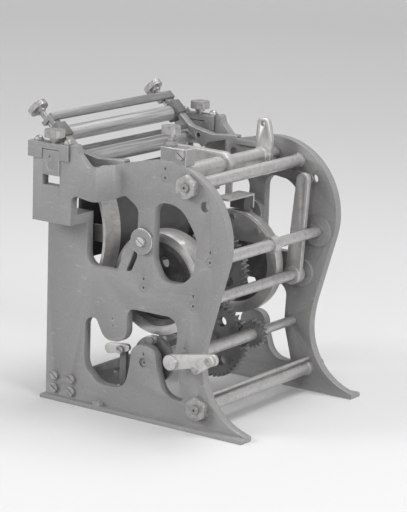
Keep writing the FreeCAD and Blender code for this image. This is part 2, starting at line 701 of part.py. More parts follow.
shaft_end = s.frame_thick + s.end_gap
turned("main_shaft", s.main_x, s.main_z, [
    (0, 0.2), (s.journal, shaft_end), (s.main_radius, outer_width - shaft_end),
    (s.journal, outer_width - 0.2)])
hub = 12.0
width = s.near_wheel_width
rim = s.near_wheel_radius
light_holes = [polar(0, 0, 19.7, 19.5 + 60 * n) + (5.4,) for n in range(6)]
ring("near_wheel", s.main_x, s.main_z, [
    (s.main_radius, 0), (hub, 0), (hub, 6), (rim - 14.7, 6), (rim - 14.7, 2.5),
    (rim - 8.4, 2.5), (rim - 8.4, 0), (rim, 0), (rim, width), (rim - 8, width),
    (rim - 8, 12), (hub, 12), (hub, width), (s.main_radius, width)],
    s.near_wheel_y, light_holes)
width = s.far_wheel_width
rim = s.far_wheel_radius
ring("far_wheel", s.main_x, s.main_z, [
    (s.main_radius, 0), (hub, 0), (hub, 5), (rim - 12, 5), (rim - 12, 0), (rim, 0),
    (rim, width), (rim - 6, width), (rim - 6, 9), (hub, 9), (hub, width),
    (s.main_radius, width)], s.far_wheel_y,
    [polar(0, 0, 25, 45 + 90 * n) + (6.0,) for n in range(4)])
gear("main_gear", s.gear_teeth, lay_turn, s.main_x, s.main_z, s.main_radius,
     [polar(0, 0, 22, 30 + 60 * n) + (5.0,) for n in range(6)])

cover_thick = 3.0
cover = bore(s.main_x, s.main_z, rim - 1, s.far_wheel_y - cover_thick, cover_thick)
cover = cover.common(box(s.main_x - 60, s.main_x + 60, s.far_wheel_y - 10,
                         s.far_wheel_y + 1, s.main_z + 22, s.main_z + 60))
cover_screws = []
for angle in (50, 90, 130):
    x, z = polar(s.main_x, s.main_z, rim - 6, angle)
    hole = bore(x, z, 1.6, s.far_wheel_y - 10, 16)
    cover = cover.cut(hole)
    cover_screws.append(slotted_head(x, z, s.far_wheel_y - cover_thick, 3.2, 1.8, 1.6,
                                     cover_thick))
made("cover_screws", Part.makeCompound(cover_screws))
made("wheel_cover", cover)


# ---------------------------------------------------------------- lay shaft

turned("lay_shaft", lay_x, lay_z, [
    (0, 1.5), (s.journal, shaft_end), (s.main_radius, outer_width - shaft_end),
    (s.journal, outer_width - 1.5)])
gear("lay_gear", s.gear_teeth, lay_phase, lay_x, lay_z, s.main_radius,
     [polar(0, 0, 22, 60 * n) + (5.0,) for n in range(6)])
pin_x, pin_z = lay_x, lay_z + s.pin_reach
cam = bore(lay_x, lay_z, s.cam_radius, s.cam_y, s.cam_thick)
cam = cam.cut(bore(lay_x, lay_z, s.main_radius, 0, 40))
pin = bore(pin_x, pin_z, 2.3, s.cam_y - 5, 6)
head = bore(pin_x, pin_z, 3.4, s.cam_y - 5.9, 1.4)
made("cam_disc", cam.multiFuse([pin, head]).removeSplitter())
pin_ring = bore(pin_x, pin_z, s.pin_radius, s.cam_y - 4.3, 4.1)
made("pin_roller", pin_ring.cut(bore(pin_x, pin_z, 2.3 + s.running_gap, 0, 40)))


# ---------------------------------------------------------------- crank

turned("crank_shaft", crank_x, crank_z, [
    (0, s.crank_y - 1), (s.journal, shaft_end), (5.8, 130),
    (4.6, outer_width - shaft_end), (s.journal, outer_width - 0.2)])
gear("pinion", s.pinion_teeth, pinion_phase, crank_x, crank_z, 5.8)

crank_turn = s.crank_rise
tip_x, tip_z = polar(crank_x, crank_z, s.crank_reach, crank_turn)
fold_x, fold_z = polar(tip_x, tip_z, s.fold_reach, 215)


def bar_outline(x0, z0, radius0, x1, z1, radius1):
    """Outline of a bar between two rounded ends, tapering from one to the other."""
    run = math.hypot(x1 - x0, z1 - z0)
    turn = math.degrees(math.atan2(z1 - z0, x1 - x0))
    side = math.degrees(math.acos((radius0 - radius1) / run))
    a, b = polar(x0, z0, radius0, turn + side), polar(x1, z1, radius1, turn + side)
    c, d = polar(x1, z1, radius1, turn - side), polar(x0, z0, radius0, turn - side)
    return [line_to(a, b), arc_to(b, polar(x1, z1, radius1, turn), c), line_to(c, d),
            arc_to(d, polar(x0, z0, radius0, turn + 180), a)]


def rivet(x, z, radius, head_radius, y0, y1, flush=False):
    """Shank from y0 to y1 with a domed head beyond each end, or only the near one."""
    ends = [(0.6, 1.0, y0 - 1.4)] if flush else [(0.6, 1.0, y0 - 1.4), (1.0, 0.6, y1)]
    heads = [Part.makeCone(head_radius * a, head_radius * b, 1.4, Vec(x, y, z), Vec(0, 1, 0))
             for a, b, y in ends]
    return bore(x, z, radius, y0, y1 - y0).multiFuse(heads).removeSplitter()


arm = upright(bar_outline(crank_x, crank_z, 7.0, tip_x, tip_z, 5.5), s.crank_y,
              s.crank_thick)
arm = arm.fuse(bore(crank_x, crank_z, 7.0, s.crank_y - 2.6, 14.6))
arm = arm.cut(bore(crank_x, crank_z, s.journal, s.crank_y - 1, 30))
arm = arm.cut(bore(tip_x, tip_z, s.shank_radius, s.crank_y - 5, 20))
made("crank_arm", arm.removeSplitter())
fold_near = s.crank_y - s.end_gap - s.crank_thick
plate("crank_link", bar_outline(tip_x, tip_z, 4.6, fold_x, fold_z, 4.6), "<crank_thick>",
      fold_near, [(tip_x, tip_z, s.shank_radius + s.running_gap),
                  (fold_x, fold_z, s.shank_radius)])
made("crank_rivet", rivet(tip_x, tip_z, s.shank_radius, 4.2, fold_near - 0.1,
                          s.crank_y + s.crank_thick))
made("link_rivet", rivet(fold_x, fold_z, s.shank_radius, 4.2, fold_near,
                         s.crank_y - s.end_gap, flush=True))


# ---------------------------------------------------------------- guide and swing shafts

boss_end = shaft_end + s.boss_thick
turned("guide_shaft", s.guide_x, s.guide_z, [
    (0, 0.2), (s.journal, boss_end), (s.guide_radius, 95), (8.0, 105),
    (s.guide_radius - 0.6, outer_width - boss_end), (s.journal, outer_width - 0.2)])
turned("swing_shaft", s.swing_x, s.swing_z, [
    (0, 0.2), (s.journal, boss_end), (s.swing_radius, outer_width - boss_end),
    (s.journal, outer_width - 0.2)])
swing_hub = 9.0
link_bar = upright(bar_outline(s.swing_x, s.swing_z, 8.0, s.link_x, s.link_z, 6.5),
                   s.bar_y, s.bar_thick)
link_bar = link_bar.fuse(bore(s.swing_x, s.swing_z, swing_hub, s.bar_y - 3, 12))
link_bar = link_bar.cut(bore(s.swing_x, s.swing_z, s.swing_radius, s.bar_y - 10, 30))
link_bar = link_bar.cut(bore(s.link_x, s.link_z, s.link_pin, s.bar_y - 10, 30))
made("link_bar", link_bar.removeSplitter())
link_far = s.link_y + s.link_thick
made("bar_pin", bore(s.link_x, s.link_z, s.link_pin, s.bar_y, link_far + 0.3 - s.bar_y).fuse(
    bore(s.link_x, s.link_z, 4.6, link_far + 0.3, 2.6)).removeSplitter())
tail_x, tail_z = s.rocker_x, s.rocker_z - s.tail_reach
plate("drag_link", bar_outline(tail_x, tail_z, 5.2, s.link_x, s.link_z, 5.2), "<link_thick>",
      s.link_y, [(tail_x, tail_z, s.link_pin + s.open_pivot_gap),
                 (s.link_x, s.link_z, s.link_pin + s.running_gap)])


# ---------------------------------------------------------------- rocker

lever_far = s.lever_y + s.lever_thick
hub_near = s.lever_y - 6.7
turned("rocker_shaft", s.rocker_x, s.rocker_z, [
    (0, 0.2), (s.journal, shaft_end), (s.rocker_radius, 82), (s.rocker_radius - 0.7, 99),
    (s.rocker_radius - 1.0, hub_near), (5.5, lever_far + 0.5),
    (4.8, outer_width - shaft_end), (s.journal, outer_width - 0.2)])
arm_tip = (77.0, 235.6)
rocker_arm = upright(bar_outline(s.rocker_x, s.rocker_z, 12.0, *arm_tip, 4.6), 87, 7)
rocker_arm = rocker_arm.cut(bore(s.rocker_x, s.rocker_z, s.rocker_radius - 0.7, 80, 20))
made("rocker_arm", rocker_arm.cut(bore(*arm_tip, 1.8, 80, 20)))
lever = upright(rounded([
    (tail_x - 5.8, tail_z - 5.5, 5), (tail_x + 5.8, tail_z - 5.5, 5), (140.6, 228, 4),
    (140.6, 244, 8), (136.2, 263, 5.2), (124.6, 263, 5.2), (123.0, 244, 8),
    (123.0, 228, 4)]), s.lever_y, s.lever_thick)
lever = lever.fuse(bore(s.rocker_x, s.rocker_z, 8.0, hub_near, lever_far + 0.5 - hub_near))
for x, z, radius in ((s.rocker_x, s.rocker_z, 5.5), (130.4, 257.4, 2.5),
                     (tail_x, tail_z, s.link_pin)):
    lever = lever.cut(bore(x, z, radius, s.lever_y - 10, 30))
made("link_lever", lever.removeSplitter())
made("tail_pin", bore(tail_x, tail_z, s.link_pin, s.lever_y, link_far + 0.2 - s.lever_y).fuse(
    bore(tail_x, tail_z, 4.4, lever_far, s.link_y - 0.3 - lever_far)).removeSplitter())


# ---------------------------------------------------------------- small fittings

def pivot(face, radius, reach):
    """Raised disc on a frame's face, held by a slotted screw through its middle."""
    disc = bore(stud_x, stud_z, radius, face - reach, reach)
    disc = disc.cut(bore(stud_x, stud_z, s.shank_radius, face - 20, 40))
    screw = slotted_head(stud_x, stud_z, face - reach, s.head_radius, s.head_height,
                         s.shank_radius, reach + 6)
    return disc, screw


near_disc, near_screw = pivot(0, disc_radius, 3.0)
far_disc, far_screw = pivot(far_face, disc_radius + 2, 8.0)
made("pivot_discs", Part.makeCompound([near_disc, far_disc]))
made("pivot_screws", Part.makeCompound([near_screw, far_screw]))

guard_x, guard_z, guard_radius = -31.0, 160.0, 90.0
guard_low, guard_high = 119.0, 212.0
flange_near, flange_wide = 10.5, 22.5
apron_x, apron_thick = 24.0, 3.0
web_thick = 3.0


def curved_strip(thick, near, wide):
    """Part of a tube about the guard's axis, between the guard's lowest and highest edges."""
    tube = bore(guard_x, guard_z, guard_radius, near, wide)
    tube = tube.cut(bore(guard_x, guard_z, guard_radius - thick, near - 1, wide + 2))
    return tube.common(box(20, 80, near, near + wide, guard_low, guard_high))


def guard_end():
    """Thick end flange of the guard, its foot on the frame and the web to the apron."""
    foot = box(44, 56, near_in, 33, 116, 120)
    lug = box(42, 52.5, near_in, near_in + 3, 116, 131)
    web = box(apron_x + 1, 58, 30, 30 + web_thick, 150, 166)
    web = web.common(bore(guard_x, guard_z, guard_radius - 1, 20, 30))
    return curved_strip(3.0, flange_near, flange_wide).multiFuse([foot, lug, web])


screen_near = flange_near + flange_wide
screen = curved_strip(1.8, screen_near, outer_width - 2 * screen_near)
apron = box(apron_x, apron_x + apron_thick, 14, outer_width - 14, 134, 214)
guard = screen.multiFuse([apron, guard_end(), mirrored(guard_end())])
made("ink_guard", guard.removeSplitter())

hanger_x, hanger_wide, hanger_y = 103.0, 7.0, 139.0
shelf_z, shelf_thick, shelf_end = 187.0, 2.0, 161.0
hanger_top = 211.0
bracket = box(hanger_x, hanger_x + hanger_wide, hanger_y, far_face, hanger_top - 4, hanger_top)
hanger = box(hanger_x, hanger_x + hanger_wide, hanger_y, hanger_y + 2, shelf_z, hanger_top)
shelf = box(hanger_x + 1, 122, 118, shelf_end, shelf_z, shelf_z + shelf_thick)
lip = box(hanger_x + 1, 122, shelf_end - 2, shelf_end, 175, shelf_z + shelf_thick)
made("wiper_bracket", bracket.multiFuse([hanger, shelf, lip]).removeSplitter())
pad = box(105, 121, 145, shelf_end - 2, 175.5, shelf_z)
pad_edge = [edge for edge in pad.Edges if edge.CenterOfMass.y < 145.1
            and edge.CenterOfMass.z > shelf_z - 0.1]
made("wiper_pad", pad.makeFillet(5.0, pad_edge))

pivot_x, pivot_z = lever_pivot
support = box(76, 83, near_in + 5, near_in + 9, 6, pivot_z + 4)
support = support.fuse(box(76, 83, near_in, near_in + 6, 6, 20))
support = support.cut(bore(pivot_x, pivot_z, 2.0, 0, 30))
made("lever_post", support.removeSplitter())
trip = upright(bar_outline(66, 56.5, 5.0, 85.5, 60.3, 3.5), near_in + 1.2, 3.4)
made("trip_lever", trip.cut(bore(pivot_x, pivot_z, 2.0 + s.running_gap, 0, 30)))
made("lever_screw", slotted_head(pivot_x, pivot_z, near_in + 0.9, 3.8, 2.2, 2.0, 6.5))


# ---------------------------------------------------------------- check and write

def check(thing):
    if {"Invalid", "Error"} & set(thing.State):
        raise RuntimeError(f"{thing.Name} failed: {thing.State}")


doc.recompute()
for thing in doc.Objects:
    check(thing)
labels = [thing.Label for thing in parts]
if len(set(labels)) != len(labels):
    raise RuntimeError("two sub-parts share a label")
os.makedirs("parts", exist_ok=True)
for thing in parts:
    shape = thing.Shape
    if shape.isNull() or not shape.isValid() or not shape.Solids:
        raise RuntimeError(f"{thing.Label} has no valid solid")
    shape.exportStep(f"parts/{thing.Label}.step")
print(len(parts), "parts")
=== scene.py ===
import bmesh
import bpy
import json
import math
from mathutils import Matrix, Vector

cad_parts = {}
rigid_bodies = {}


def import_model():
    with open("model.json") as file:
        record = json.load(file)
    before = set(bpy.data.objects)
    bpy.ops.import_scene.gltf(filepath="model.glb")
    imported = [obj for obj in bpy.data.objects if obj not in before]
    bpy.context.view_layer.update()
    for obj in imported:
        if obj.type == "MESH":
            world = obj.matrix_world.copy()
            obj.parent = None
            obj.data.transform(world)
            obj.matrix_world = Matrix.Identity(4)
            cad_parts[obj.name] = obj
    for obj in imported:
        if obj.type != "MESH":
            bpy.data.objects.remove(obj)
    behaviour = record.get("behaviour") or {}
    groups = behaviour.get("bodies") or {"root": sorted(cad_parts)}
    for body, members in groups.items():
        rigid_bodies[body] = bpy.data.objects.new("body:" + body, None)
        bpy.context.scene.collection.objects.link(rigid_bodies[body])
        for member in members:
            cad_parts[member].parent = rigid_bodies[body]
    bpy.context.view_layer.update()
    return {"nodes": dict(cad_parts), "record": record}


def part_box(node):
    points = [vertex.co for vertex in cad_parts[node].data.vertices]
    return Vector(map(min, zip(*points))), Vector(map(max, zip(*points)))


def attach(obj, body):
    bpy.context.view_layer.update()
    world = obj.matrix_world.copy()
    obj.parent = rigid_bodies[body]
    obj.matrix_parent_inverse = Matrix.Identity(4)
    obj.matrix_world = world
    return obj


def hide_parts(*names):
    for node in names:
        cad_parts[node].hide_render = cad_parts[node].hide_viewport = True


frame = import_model()
MM = 0.001
TOOL_MARK_RATE = 9000.0  # radians a metre, so marks lie about 0.7 mm apart


# ---------------------------------------------------------------- camera and light

def make_camera():
    """Long lens, looking slightly down at the crank side and the flared toes."""
    aim = Vector((0.01327, -0.0045, 0.1382))
    turn, rise, roll = math.radians(34.61), math.radians(12.96), math.radians(1.82)
    distance = 2.147
    back = Vector((math.sin(turn) * math.cos(rise), -math.cos(turn) * math.cos(rise),
                   math.sin(rise)))
    right = Vector((math.cos(turn), math.sin(turn), 0))
    up = back.cross(right)
    level = math.cos(roll) * right + math.sin(roll) * up
    upright = -math.sin(roll) * right + math.cos(roll) * up
    data = bpy.data.cameras.new("camera")
    data.sensor_fit = "VERTICAL"
    data.sensor_height = 36
    data.lens = 161.2
    data.clip_end = 20
    camera = bpy.data.objects.new("camera", data)
    bpy.context.collection.objects.link(camera)
    place = aim + back * distance
    camera.matrix_world = Matrix((
        (level.x, upright.x, back.x, place.x), (level.y, upright.y, back.y, place.y),
        (level.z, upright.z, back.z, place.z), (0, 0, 0, 1)))
    bpy.context.scene.camera = camera


def soft_light(name, place, aim, width, power):
    data = bpy.data.lights.new(name, "AREA")
    data.shape = "DISK"
    data.size = width
    data.energy = power
    lamp = bpy.data.objects.new(name, data)
    bpy.context.collection.objects.link(lamp)
    lamp.location = place
    lamp.rotation_euler = (Vector(aim) - Vector(place)).to_track_quat("-Z", "Y").to_euler()


def make_light():
    """Broad soft lights at the left, front and right, one overhead, and a white room."""
    soft_light("window_left", (-1.3, -1.3, 1.0), (0, 0, 0.12), 0.9, 24)
    soft_light("window_front", (0.5, -1.9, 1.1), (0, 0, 0.1), 0.8, 11)
    soft_light("window_right", (2.0, -0.4, 0.7), (0, 0, 0.13), 0.8, 30)
    soft_light("ceiling", (0.2, 0.5, 1.8), (0, 0, 0), 1.1, 22)
    world = bpy.data.worlds.new("studio")
    world.use_nodes = True
    background = world.node_tree.nodes["Background"]
    background.inputs["Color"].default_value = (1, 1, 1, 1)
    background.inputs["Strength"].default_value = 0.40
    scene = bpy.context.scene
    scene.world = world
    scene.view_settings.view_transform = "Standard"
    scene.view_settings.look = "None"


# ---------------------------------------------------------------- shader helper

class Wire:
    """One socket of a material's nodes; arithmetic on it adds Math nodes."""

    def __init__(self, kit, socket):
        self.kit = kit
        self.socket = socket

    def math(self, operation, *values):
        return self.kit.node("ShaderNodeMath", {"operation": operation},
                             dict(enumerate((self,) + values)))

    def __add__(self, other):
        return self.math("ADD", other)

    def __mul__(self, other):
        return self.math("MULTIPLY", other)

    def __sub__(self, other):
        return self.math("SUBTRACT", other)

    def __rsub__(self, other):
        return self.kit.node("ShaderNodeMath", {"operation": "SUBTRACT"},
                             {0: other, 1: self})

    __radd__ = __add__
    __rmul__ = __mul__


class Kit:
    """A material's node tree."""

    def __init__(self, name):
        self.material = bpy.data.materials.new(name)
        self.material.use_nodes = True
        self.tree = self.material.node_tree
        self.shader = self.tree.nodes["Principled BSDF"]
        self.place = self.node("ShaderNodeTexCoord", {}, {}, "Object")

    def node(self, kind, settings, links, output=0):
        made = self.tree.nodes.new(kind)
        for name, value in settings.items():
            setattr(made, name, value)
        for name, value in links.items():
            self.join(made.inputs[name], value)
        return Wire(self, made.outputs[output])

    def join(self, socket, value):
        if isinstance(value, Wire):
            self.tree.links.new(value.socket, socket)
        else:
            socket.default_value = value

    def stretched(self, scale):
        return self.node("ShaderNodeVectorMath", {"operation": "MULTIPLY"},
                         {0: self.place, 1: scale})

    def noise(self, scale, detail=3.0, roughness=0.5, stretch=None):
        vector = self.stretched(stretch) if stretch else self.place
        return self.node("ShaderNodeTexNoise", {"noise_dimensions": "3D"}, {
            "Vector": vector, "Scale": scale, "Detail": detail, "Roughness": roughness})

    def ramp(self, value, low, high):
        return self.node("ShaderNodeMapRange",
                         {"clamp": True, "interpolation_type": "SMOOTHSTEP"},
                         {"Value": value, "From Min": low, "From Max": high})

    def tint(self, factor, first, second):
        made = self.tree.nodes.new("ShaderNodeMix")
        made.data_type = "RGBA"
        self.join(made.inputs[0], factor)
        self.join(made.inputs[6], first)
        self.join(made.inputs[7], second)
        return Wire(self, made.outputs[2])

    def bump(self, height, depth, strength=1.0, below=None):
        links = {"Height": height, "Distance": depth, "Strength": strength}
        if below is not None:
            links["Normal"] = below
        return self.node("ShaderNodeBump", {}, links)

    def along(self, axis):
        parts = self.tree.nodes.new("ShaderNodeSeparateXYZ")
        self.join(parts.inputs[0], self.place)
        return Wire(self, parts.outputs[axis])

    def from_shaft(self, centre):
        """How far a point is from the shaft that lies along Y through this centre."""
        x = self.along("X") - centre[0]
        z = self.along("Z") - centre[2]
        return (x * x + z * z).math("POWER", 0.5)

    def finish(self, **inputs):
        for name, value in inputs.items():
            self.join(self.shader.inputs[name.replace("_", " ")], value)
        return self.material


def grey(level, warmth=0.0):
    return (level * (1 + warmth), level, level * (1 - warmth), 1)


# ---------------------------------------------------------------- finishes

def casting_paint():
    """Old grey enamel over a sand casting: pitted, dusty, rubbed in patches."""
    return paint_coat(Kit("casting_paint"))


def paint_coat(kit, share=None, under=None, under_rough=None, under_metal=None,
               under_normal=None):
    """The enamel, alone or over the share of a steel piece that was painted with the frame."""
    cloud = kit.noise(14, 4, 0.6)
    grain = kit.noise(900, 3, 0.6)
    pits = kit.ramp(kit.noise(620, 2, 0.5), 0.62, 0.74)
    scuffs = kit.ramp(kit.noise(60, 6, 0.7, (1, 1, 3)), 0.58, 0.74)
    flecks = kit.ramp(kit.noise(520, 3, 0.6), 0.60, 0.70)
    body = kit.tint(cloud, grey(0.160, 0.01), grey(0.215, 0.01))
    body = kit.tint(pits * 0.35, body, grey(0.09))
    body = kit.tint(flecks * 0.3, body, grey(0.38))
    body = kit.tint(scuffs * 0.45, body, grey(0.34))
    # Lighter within 2 cm of the floor: painted light bounced up from the pale floor.
    low = kit.ramp(kit.along("Z"), 0.02, 0.0)
    body = kit.tint(low * 0.2, body, grey(0.3))
    rough = 0.42 + grain * 0.16 - scuffs * 0.1
    normal = kit.bump(kit.noise(260, 4, 0.65), 0.0005, 0.75)
    normal = kit.bump(grain - pits * 0.5, 0.0002, 0.8, normal)
    if share is None:
        return kit.finish(Base_Color=body, Metallic=0.0, Normal=normal, Roughness=rough,
                          Coat_Weight=0.1, Coat_Roughness=0.3)
    return kit.finish(Base_Color=kit.tint(share, under, body), Normal=under_normal,
                      Metallic=(1 - share) * under_metal,
                      Roughness=under_rough * (1 - share) + rough * share)


def rubbed_paint_and_edge_highlight():
    """Arrises where the enamel has worn thin and the iron shows through, lightened further as
    a painted edge highlight.
    """
    kit = Kit("rubbed_paint_and_edge_highlight")
    worn = kit.ramp(kit.noise(240, 4, 0.7), 0.38, 0.62)
    # Set lighter than worn iron alone would be: a painted highlight along the edges over the
    # rubbed paint.
    body = kit.tint(worn, grey(0.30, 0.01), grey(0.60, 0.01))
    normal = kit.bump(kit.noise(900, 3, 0.6), 0.0001, 0.5)
    return kit.finish(Base_Color=body, Metallic=worn * 0.5, Normal=normal,
                      Roughness=0.48 - worn * 0.12)


def dirt_and_dimple_shade():
    """Old dirt and oil in punch marks and drilled centres, with the shade inside those dimples
    painted in as near black.
    """
    kit = Kit("dirt_and_dimple_shade")
    dirt = kit.noise(1500, 2, 0.5)
    return kit.finish(Base_Color=kit.tint(dirt, grey(0.018), grey(0.05)),
                      Roughness=0.7 + dirt * 0.2)


def guard_finish():
    """The guard's end flanges are rubbed bright; its screen and apron are ink black."""
    kit = Kit("guard_finish")
    flange = kit.ramp(kit.along("Y").math("ABSOLUTE"), 0.0605, 0.0615)
    front = kit.ramp(kit.along("X"), -0.0705, -0.0695)
    bright = flange * front
    smear = kit.ramp(kit.noise(60, 5, 0.7, (1, 1, 2)), 0.42, 0.68)
    black = kit.tint(smear, grey(0.045), grey(0.062))
    steel = kit.tint(smear * 0.7, grey(0.50, 0.01), grey(0.33, 0.02))
    normal = kit.bump(kit.noise(700, 3, 0.6), 0.0001, 0.5)
    return kit.finish(Base_Color=kit.tint(bright, black, steel), Normal=normal,
                      Metallic=bright * 0.5, Roughness=0.46 + smear * 0.12)


def turned_steel():
    """Rods and shafts: fine turning marks round the Y axis, oil and light rust.
    Their ends were painted over with the frames."""
    kit = Kit("turned_steel")
    marks = kit.noise(1, 2, 0.5, (300, 5200, 300))
    blotch = kit.ramp(kit.noise(70, 5, 0.65), 0.44, 0.66)
    spots = kit.ramp(kit.noise(520, 2, 0.5), 0.62, 0.72)
    body = kit.tint(blotch * 0.6, grey(0.52, 0.01), grey(0.34, 0.02))
    body = kit.tint(spots * 0.6, body, grey(0.12, 0.05))
    normal = kit.bump(marks, 0.00006, 0.45)
    normal = kit.bump(spots, 0.00008, 0.4, normal)
    end = kit.ramp(kit.along("Y").math("ABSOLUTE"), 0.0915, 0.0925)
    return paint_coat(kit, end, body, 0.30 + marks * 0.10 + blotch * 0.14, 0.8, normal)


def screw_steel():
    """Screws, nuts and knobs: browned by age, rubbed brighter by hands and spanners."""
    kit = Kit("screw_steel")
    blotch = kit.ramp(kit.noise(150, 5, 0.7), 0.42, 0.66)
    fine = kit.noise(1600, 2, 0.5)
    body = kit.tint(blotch * 0.8, grey(0.36, 0.01), grey(0.19, 0.03))
    normal = kit.bump(fine + blotch * 0.5, 0.00006, 0.5)
    return kit.finish(Base_Color=body, Metallic=0.7, Normal=normal,
                      Roughness=0.36 + blotch * 0.14 + fine * 0.08)


def filed_steel():
    """Levers, caps and small fittings: draw-filed flats with soft scratches."""
    kit = Kit("filed_steel")
    lines = kit.noise(1, 3, 0.6, (160, 160, 2600))
    blotch = kit.ramp(kit.noise(90, 5, 0.65), 0.45, 0.7)
    body = kit.tint(blotch * 0.6, grey(0.48, 0.01), grey(0.28, 0.02))
    normal = kit.bump(lines, 0.00007, 0.45)
    return kit.finish(Base_Color=body, Metallic=0.7, Normal=normal,
                      Roughness=0.36 + lines * 0.12 + blotch * 0.12)


def wheel_iron(centre, name, rim):
    """A cast wheel: dark web, bright turned rim; rim is the radius where the rim starts."""
    kit = Kit(name)
    reach = kit.from_shaft(centre)
    turned = kit.ramp(reach, rim, rim + 0.0006)
    film = kit.ramp(kit.noise(55, 5, 0.65), 0.42, 0.7)
    marks = kit.noise(1, 2, 0.5, (260, 4200, 260))
    grain = kit.noise(900, 3, 0.6)
    web = kit.tint(film, grey(0.09, 0.02), grey(0.17, 0.01))
    bright = kit.tint(film * 0.6, grey(0.50, 0.01), grey(0.30, 0.02))
    normal = kit.bump(grain * (1 - turned) + marks * turned, 0.00009, 0.5)
    return kit.finish(Base_Color=kit.tint(turned, web, bright), Normal=normal,
                      Metallic=0.3 + turned * 0.45,
                      Roughness=0.50 - turned * 0.14 + film * 0.12)


def machined_iron(centre, name):
    """Wheels and gears: circular tool marks about their own shaft, oily film."""
    kit = Kit(name)
    reach = kit.from_shaft(centre)
    rings = (reach * TOOL_MARK_RATE).math("SINE")
    film = kit.ramp(kit.noise(55, 5, 0.65), 0.42, 0.7)
    grain = kit.noise(1300, 2, 0.5)
    body = kit.tint(film * 0.7, grey(0.26), grey(0.115, 0.02))
    normal = kit.bump(rings * 0.5 + grain, 0.00005, 0.4)
    return kit.finish(Base_Color=body, Metallic=0.7, Normal=normal,
                      Roughness=0.36 + grain * 0.12 + film * 0.14)


def dull_iron():
    """Unpainted castings and forged bars with a dark skin."""
    kit = Kit("dull_iron")
    skin = kit.ramp(kit.noise(85, 5, 0.7), 0.4, 0.68)
    grain = kit.noise(800, 4, 0.6)
    body = kit.tint(skin, grey(0.115, 0.02), grey(0.15, 0.01))
    normal = kit.bump(grain, 0.00014, 0.6)
    return kit.finish(Base_Color=body, Metallic=0.45, Normal=normal,
                      Roughness=0.46 + grain * 0.16)


def roller_face():
    """Ground roller with long wear streaks and a few dark nicks."""
    kit = Kit("roller_face")
    streaks = kit.noise(1, 4, 0.6, (420, 9, 420))
    nicks = kit.ramp(kit.noise(1, 2, 0.5, (700, 60, 700)), 0.66, 0.74)
    body = kit.tint(kit.ramp(streaks, 0.35, 0.7), grey(0.46), grey(0.24, 0.01))
    body = kit.tint(nicks * 0.6, body, grey(0.16))
    normal = kit.bump(streaks, 0.00008, 0.4)
    end = kit.ramp(kit.along("Y").math("ABSOLUTE"), 0.1195, 0.1202)
    return kit.finish(Base_Color=kit.tint(end, body, grey(0.17)), Normal=normal,
                      Metallic=(1 - end) * 0.6, Roughness=0.38 + streaks * 0.2)


def blackened():
    """Blued flat bar, worn grey along its length."""
    kit = Kit("blackened_bar")
    wear = kit.ramp(kit.noise(1, 4, 0.6, (260, 22, 260)), 0.5, 0.72)
    body = kit.tint(wear * 0.6, grey(0.18), grey(0.34))
    normal = kit.bump(kit.noise(700, 3, 0.5), 0.00008, 0.5)
    return kit.finish(Base_Color=body, Metallic=0.6, Normal=normal,
                      Roughness=0.42 + wear * 0.12)


def felt():
    """Packed dark wiping felt."""
    kit = Kit("wiping_felt")
    fibre = kit.noise(1500, 5, 0.75)
    body = kit.tint(fibre, grey(0.035), grey(0.11))
    normal = kit.bump(fibre, 0.0004, 0.8)
    return kit.finish(Base_Color=body, Normal=normal, Roughness=0.85 + fibre * 0.1)


def paper_floor():
    """White seamless paper, glowing softly away from the press as a lit backdrop does."""
    kit = Kit("pale_floor")
    tooth = kit.noise(700, 3, 0.6)
    x, y = kit.along("X"), kit.along("Y")
    away = kit.ramp((x * x + y * y).math("POWER", 0.5), 0.3, 2.6)
    kit.finish(Base_Color=kit.tint(tooth, grey(0.56), grey(0.60)), Roughness=0.8,
               Normal=kit.bump(tooth, 0.0001, 0.2),
               Emission_Color=kit.tint(away, grey(0.0), grey(0.16)))
    kit.shader.inputs["Emission Strength"].default_value = 1.0
    return kit.material


def centre_of(node):
    low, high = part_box(node)
    return [(a + b) / 2 for a, b in zip(low, high)]


def dress(material, *nodes):
    for name in nodes:
        thing = frame["nodes"][name]
        thing.data.materials.clear()
        thing.data.materials.append(material)


def dress_all():
    steel = turned_steel()
    screws = screw_steel()
    filed = filed_steel()
    iron = dull_iron()
    dress(casting_paint(), "side_frame_near", "side_frame_far", "bearing_caps",
          "inking_bracket_near", "inking_bracket_far", "adjuster_post", "pivot_discs",
          "bearing_blocks", "packing_blocks")
    dress(steel, "top_tie_rod", "bottom_tie_rod", "guide_rod", "main_shaft", "lay_shaft",
          "crank_shaft", "guide_shaft", "swing_shaft", "rocker_shaft", "tail_pin",
          "pin_roller", "bar_pin")
    dress(screws, "girt_screws", "tie_rod_nuts", "cap_nuts", "pressure_screw_near",
          "pressure_screw_far", "thumb_screw_near", "thumb_screw_far", "adjuster_screw",
          "adjuster_locknut", "clamp_screw", "cover_screws", "crank_rivet", "link_rivet",
          "lever_screw")
    dress(filed, "wheel_cover", "crank_arm", "crank_link", "link_lever", "pivot_screws",
          "link_bar", "rocker_arm", "trip_lever", "wiper_bracket")
    dress(iron, "rear_girt", "lever_post", "drag_link", "roller_blocks")
    dress(guard_finish(), "ink_guard")
    dress(roller_face(), "impression_roller", "inking_roller")
    dress(blackened(), "cross_strap", "scraper_bar")
    dress(felt(), "wiper_pad")
    main = centre_of("main_shaft")
    lay = centre_of("lay_shaft")
    crank = centre_of("crank_shaft")
    low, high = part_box("near_wheel")
    rim_depth = 9 * MM
    rim = (high.x - low.x) / 2 - rim_depth
    dress(wheel_iron(main, "wheel_iron", rim), "near_wheel", "far_wheel")
    dress(machined_iron(main, "main_gear_iron"), "main_gear")
    dress(machined_iron(lay, "lay_gear_iron"), "lay_gear", "cam_disc")
    dress(machined_iron(crank, "pinion_iron"), "pinion")


# ---------------------------------------------------------------- softened castings

